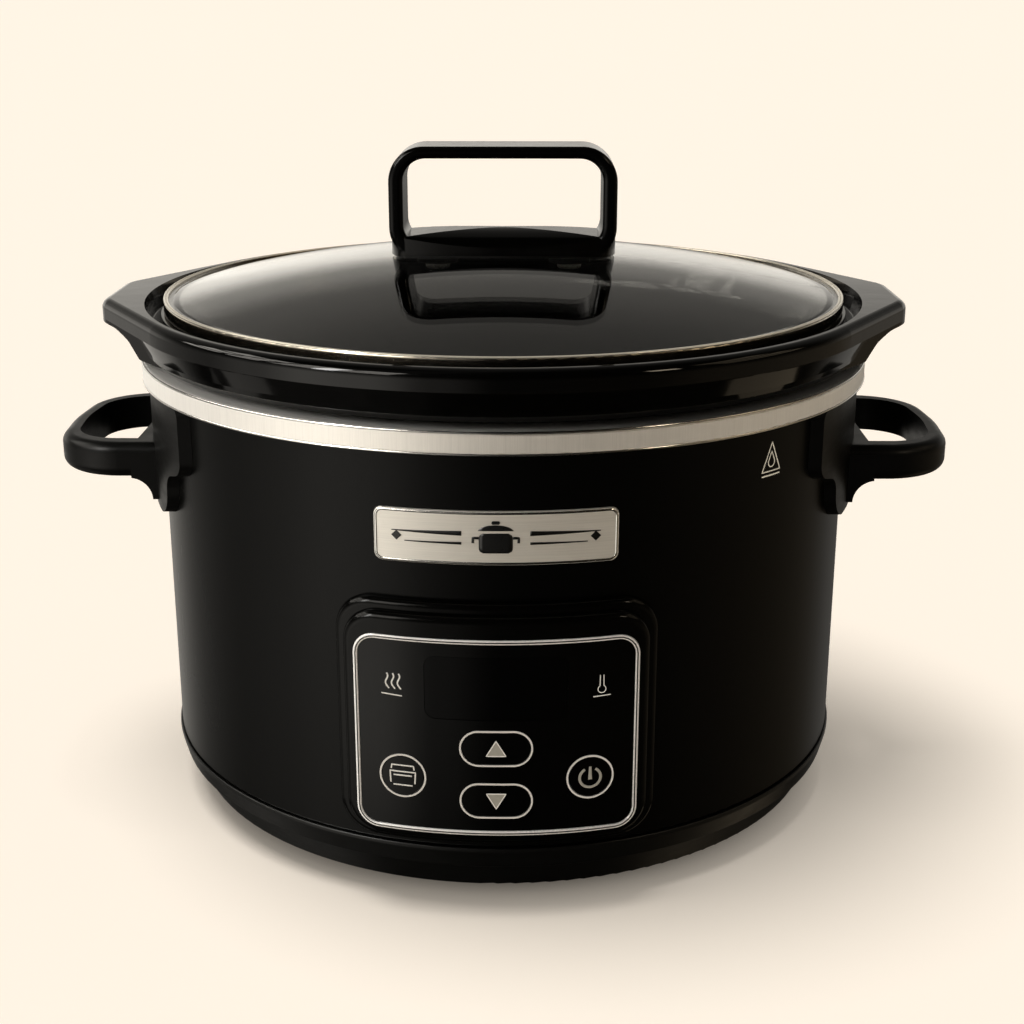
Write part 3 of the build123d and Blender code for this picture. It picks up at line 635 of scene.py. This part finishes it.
# What reflections see, as (place, level) or (place, level, 1) for warm light. Round the object, 0.5 is
# straight in front, 0.25 to the left, 0.75 to the right, and 0 and 1 behind. Upwards, 0 is straight down,
# 0.5 level and 1 straight up.
WALLS_AROUND = [(0.0, 0.20), (0.055, 0.70), (0.10, 0.62), (0.16, 0.34), (0.228, 0.30), (0.283, 0.85),
                (0.34, 1.9), (0.39, 1.7), (0.445, 0.45), (0.50, 0.05), (0.60, 0.05, 1), (0.70, 0.20, 1),
                (0.76, 0.22, 1), (0.83, 0.20, 1), (0.90, 0.27), (0.965, 0.17), (1.0, 0.20)]
WALLS_UP = [(0.0, 0.02), (0.22, 0.05), (0.30, 0.9), (0.45, 1.0), (0.55, 0.55), (0.62, 0.25), (0.69, 0.08),
            (1.0, 0.05)]
REAR_AROUND = [(0.0, 1.0), (0.12, 0.9), (0.21, 0.0), (0.80, 0.0), (0.90, 0.7), (1.0, 1.0)]
REAR_UP = [(0.0, 0.0), (0.44, 0.0), (0.50, 0.80), (0.56, 0.72), (0.62, 0.26), (0.68, 0.145), (0.80, 0.10),
           (1.0, 0.06)]
PANES_AROUND = [(0.0, 0.0), (0.165, 0.75), (0.225, 0.0), (0.235, 1.0), (0.275, 0.0), (0.29, 1.0),
                (0.35, 0.1), (0.36, 1.0), (0.405, 0.0), (0.70, 0.12, 1), (0.775, 0.14, 1), (0.80, 0.0)]
PANES_UP = [(0.0, 0.0), (0.70, 1.0), (0.735, 0.08), (0.755, 1.0), (0.80, 0.08), (0.82, 1.0), (0.86, 0.0)]
LOW_AROUND = [(0.0, 0.0), (0.12, 0.3), (0.175, 0.05), (0.186, 1.0), (0.228, 0.14), (0.33, 0.06), (0.40, 0.0),
              (0.764, 1.0, 1), (0.836, 0.0)]
LOW_UP = [(0.0, 0.0), (0.05, 0.42), (0.21, 0.0)]


def floor():
    """A sheet of cream paper that glows up to the backdrop's cream. The glow is turned down under the
    object's edge, a painted contact shadow.
    """
    bm = bmesh.new()
    bmesh.ops.create_grid(bm, x_segments=8, y_segments=8, size=FLOOR_HALF)
    mesh = bpy.data.meshes.new("floor")
    bm.to_mesh(mesh)
    bm.free()
    obj = bpy.data.objects.new("floor", mesh)
    bpy.context.scene.collection.objects.link(obj)
    g = Graph("floor_paper_with_painted_shadow")
    fibre = g.span(g.noise(6, 2, 0.5), 0, 1)
    tone = g.mix_colours(fibre, rgb(0.885, 0.819, 0.741), rgb(0.890, 0.824, 0.746))
    from_axis = g.node("ShaderNodeVectorMath", {"operation": "LENGTH"})
    g.put(from_axis.inputs[0], g.place)
    # painted contact shadow: the floor's glow falls from FLOOR_GLOW to 0.06 between 126 and 108 mm from the
    # axis
    painted_glow = g.span(from_axis.outputs["Value"], 0.06, FLOOR_GLOW, 0.108, 0.126)
    mesh.materials.append(g.finish(Base_Color=tone, Roughness=1.0, Specular_IOR_Level=0.0,
                                   Emission_Color=rgb(*CREAM), Emission_Strength=painted_glow))
    obj.visible_glossy = False


class Sky:
    """The world's node tree. A node's inputs are given in the order of its sockets."""

    def __init__(self, scene_world):
        scene_world.use_nodes = True
        self.tree = scene_world.node_tree
        self.tree.nodes.clear()

    def node(self, kind, *inputs):
        made = self.tree.nodes.new(kind)
        for socket, value in zip(made.inputs, inputs):
            if isinstance(value, bpy.types.NodeSocket):
                self.tree.links.new(value, socket)
            else:
                socket.default_value = value
        return made

    def maths(self, operation, a, b=0.0):
        made = self.node("ShaderNodeMath", a, b)
        made.operation = operation
        return made.outputs[0]

    def ramp(self, value, stops, interpolation="EASE"):
        """Grey levels along value, cool or warm."""
        made = self.node("ShaderNodeValToRGB", value)
        made.color_ramp.interpolation = interpolation
        band = made.color_ramp.elements
        while len(band) < len(stops):
            band.new(0.5)
        for element, (at, level, *warm) in zip(band, stops):
            tint = WARM if warm else COOL
            element.position = at
            element.color = (*(level * channel for channel in tint), 1.0)
        return made.outputs["Color"]

    def combine(self, kind, first, second):
        made = self.tree.nodes.new("ShaderNodeMix")
        made.data_type = "RGBA"
        made.blend_type = kind
        made.inputs[0].default_value = 1.0
        self.tree.links.new(first, made.inputs[6])
        self.tree.links.new(second, made.inputs[7])
        return made.outputs[2]

    def field(self, around, up, around_stops, up_stops, interpolation="EASE"):
        """Light that varies round the object and with height."""
        return self.combine("MULTIPLY", self.ramp(around, around_stops, interpolation),
                            self.ramp(up, up_stops, interpolation))

    def background(self, colour, level):
        return self.node("ShaderNodeBackground", colour, level).outputs[0]

    def mix_shaders(self, share, first, second):
        return self.node("ShaderNodeMixShader", share, first, second).outputs[0]


def studio(sky):
    """A dark studio with lit walls, a lit rear, window panes and two patches low down."""
    direction = sky.node("ShaderNodeTexCoord").outputs["Generated"]
    dx, dy, dz = sky.node("ShaderNodeSeparateXYZ", direction).outputs
    turn = sky.maths("ARCTAN2", dx, sky.maths("MULTIPLY", dy, -1.0))
    around = sky.maths("ADD", sky.maths("DIVIDE", turn, math.tau), 0.5)
    up = sky.maths("ADD", sky.maths("MULTIPLY", dz, 0.5), 0.5)
    walls = sky.field(around, up, WALLS_AROUND, WALLS_UP)
    rear = sky.field(around, up, REAR_AROUND, REAR_UP)
    panes = sky.field(around, up, PANES_AROUND, PANES_UP, "CONSTANT")
    low = sky.field(around, up, LOW_AROUND, LOW_UP, "CONSTANT")
    bright = sky.tree.nodes.new("ShaderNodeVectorMath")
    bright.operation = "SCALE"
    sky.tree.links.new(panes, bright.inputs[0])
    bright.inputs["Scale"].default_value = PANE_LEVEL
    broad = sky.combine("ADD", walls, rear)
    return sky.combine("ADD", broad, sky.combine("ADD", low, bright.outputs["Vector"]))


def world():
    """Cream for the eye, even soft light for matt surfaces, and the studio for reflections."""
    scene_world = bpy.data.worlds.new("studio")
    bpy.context.scene.world = scene_world
    scene_world.cycles.sampling_method = "NONE"
    sky = Sky(scene_world)
    glossy = sky.background(studio(sky), 1.0)
    diffuse = sky.background((*COOL, 1.0), SKY_LEVEL)
    seen = sky.background((*CREAM, 1.0), 1.0)
    # a ray seen through the glass keeps the light that its last solid surface would have met
    path = sky.node("ShaderNodeLightPath").outputs
    not_diffuse = sky.maths("SUBTRACT", 1.0, path["Is Diffuse Ray"])
    mirrored = sky.maths("MULTIPLY", sky.maths("GREATER_THAN", path["Glossy Depth"], 0.5), not_diffuse)
    bounces = sky.maths("ADD", path["Glossy Depth"], path["Diffuse Depth"])
    unbounced = sky.maths("SUBTRACT", 1.0, sky.maths("GREATER_THAN", bounces, 0.5))
    through = sky.maths("MULTIPLY", path["Is Transmission Ray"], unbounced)
    eye = sky.maths("MAXIMUM", path["Is Camera Ray"], through)
    lit = sky.mix_shaders(mirrored, diffuse, glossy)
    sky.node("ShaderNodeOutputWorld", sky.mix_shaders(eye, lit, seen))


def aim(obj, target):
    obj.rotation_euler = (Vector(target) - obj.location).to_track_quat("-Z", "Y").to_euler()


def light(name, kind, place, target, power, colour, **settings):
    data = bpy.data.lights.new(name, kind)
    data.energy = power
    data.color = colour
    for key, value in settings.items():
        setattr(data, key, value)
    obj = bpy.data.objects.new(name, data)
    obj.location = place
    bpy.context.scene.collection.objects.link(obj)
    aim(obj, target)
    return obj


def suns():
    """A high key light, and a low one from the left."""
    middle = (0, 0, 0)
    key = light("key_sun", "SUN", (-0.36, 0.05, 1.95), middle, 2.30, (1.0, 0.965, 0.915),
                angle=math.radians(34))
    side = light("side_card", "SUN", (-1.0, 0.10, 0.22), middle, 5.4, (1.0, 0.985, 0.965),
                 angle=math.radians(50))
    key.visible_glossy = False
    side.visible_glossy = False
    # only the bare metal takes the low light, as if from a card held close to it
    bare = bpy.data.collections.new("bare_metal")
    for name in ("steel_band", "badge_plate", "fascia_trim"):
        bare.objects.link(NODES[name])
    side.light_linking.receiver_collection = bare


def soft_boxes():
    """A tall one to the left and a small warm one to the right, which show in reflections only."""
    window = light("window", "AREA", (-0.95, -0.75, 0.85), (-0.05, 0, 0.17), 6.0, (1.0, 0.99, 0.97),
                   shape="RECTANGLE", size=0.16, size_y=0.5)
    lamp = light("lamp", "AREA", (0.75, -0.65, 0.75), (0.05, 0, 0.17), 0.8, (1.0, 0.84, 0.62),
                 shape="RECTANGLE", size=0.16, size_y=0.16)
    for box in (window, lamp):
        box.visible_diffuse = False
        box.visible_transmission = False


def camera():
    """Standing 0.62 m from the middle of the body, looking down at 17.8 degrees."""
    reach, pitch, turn = 0.6215, math.radians(17.76), math.radians(0.83)
    aside, look_height = 0.0031, 0.0963
    data = bpy.data.cameras.new("camera")
    data.sensor_width = 36.0
    data.lens = 56.68
    data.clip_start = 0.01
    data.clip_end = 1000.0
    obj = bpy.data.objects.new("camera", data)
    target = Vector((0, 0, look_height)) + Vector((math.cos(turn), math.sin(turn), 0)) * aside
    back = Vector((math.sin(turn) * math.cos(pitch), -math.cos(turn) * math.cos(pitch), math.sin(pitch)))
    obj.location = target + back * reach
    bpy.context.scene.collection.objects.link(obj)
    aim(obj, target)
    bpy.context.scene.camera = obj


floor()
world()
suns()
soft_boxes()
camera()
bpy.context.scene.view_settings.view_transform = "Standard"
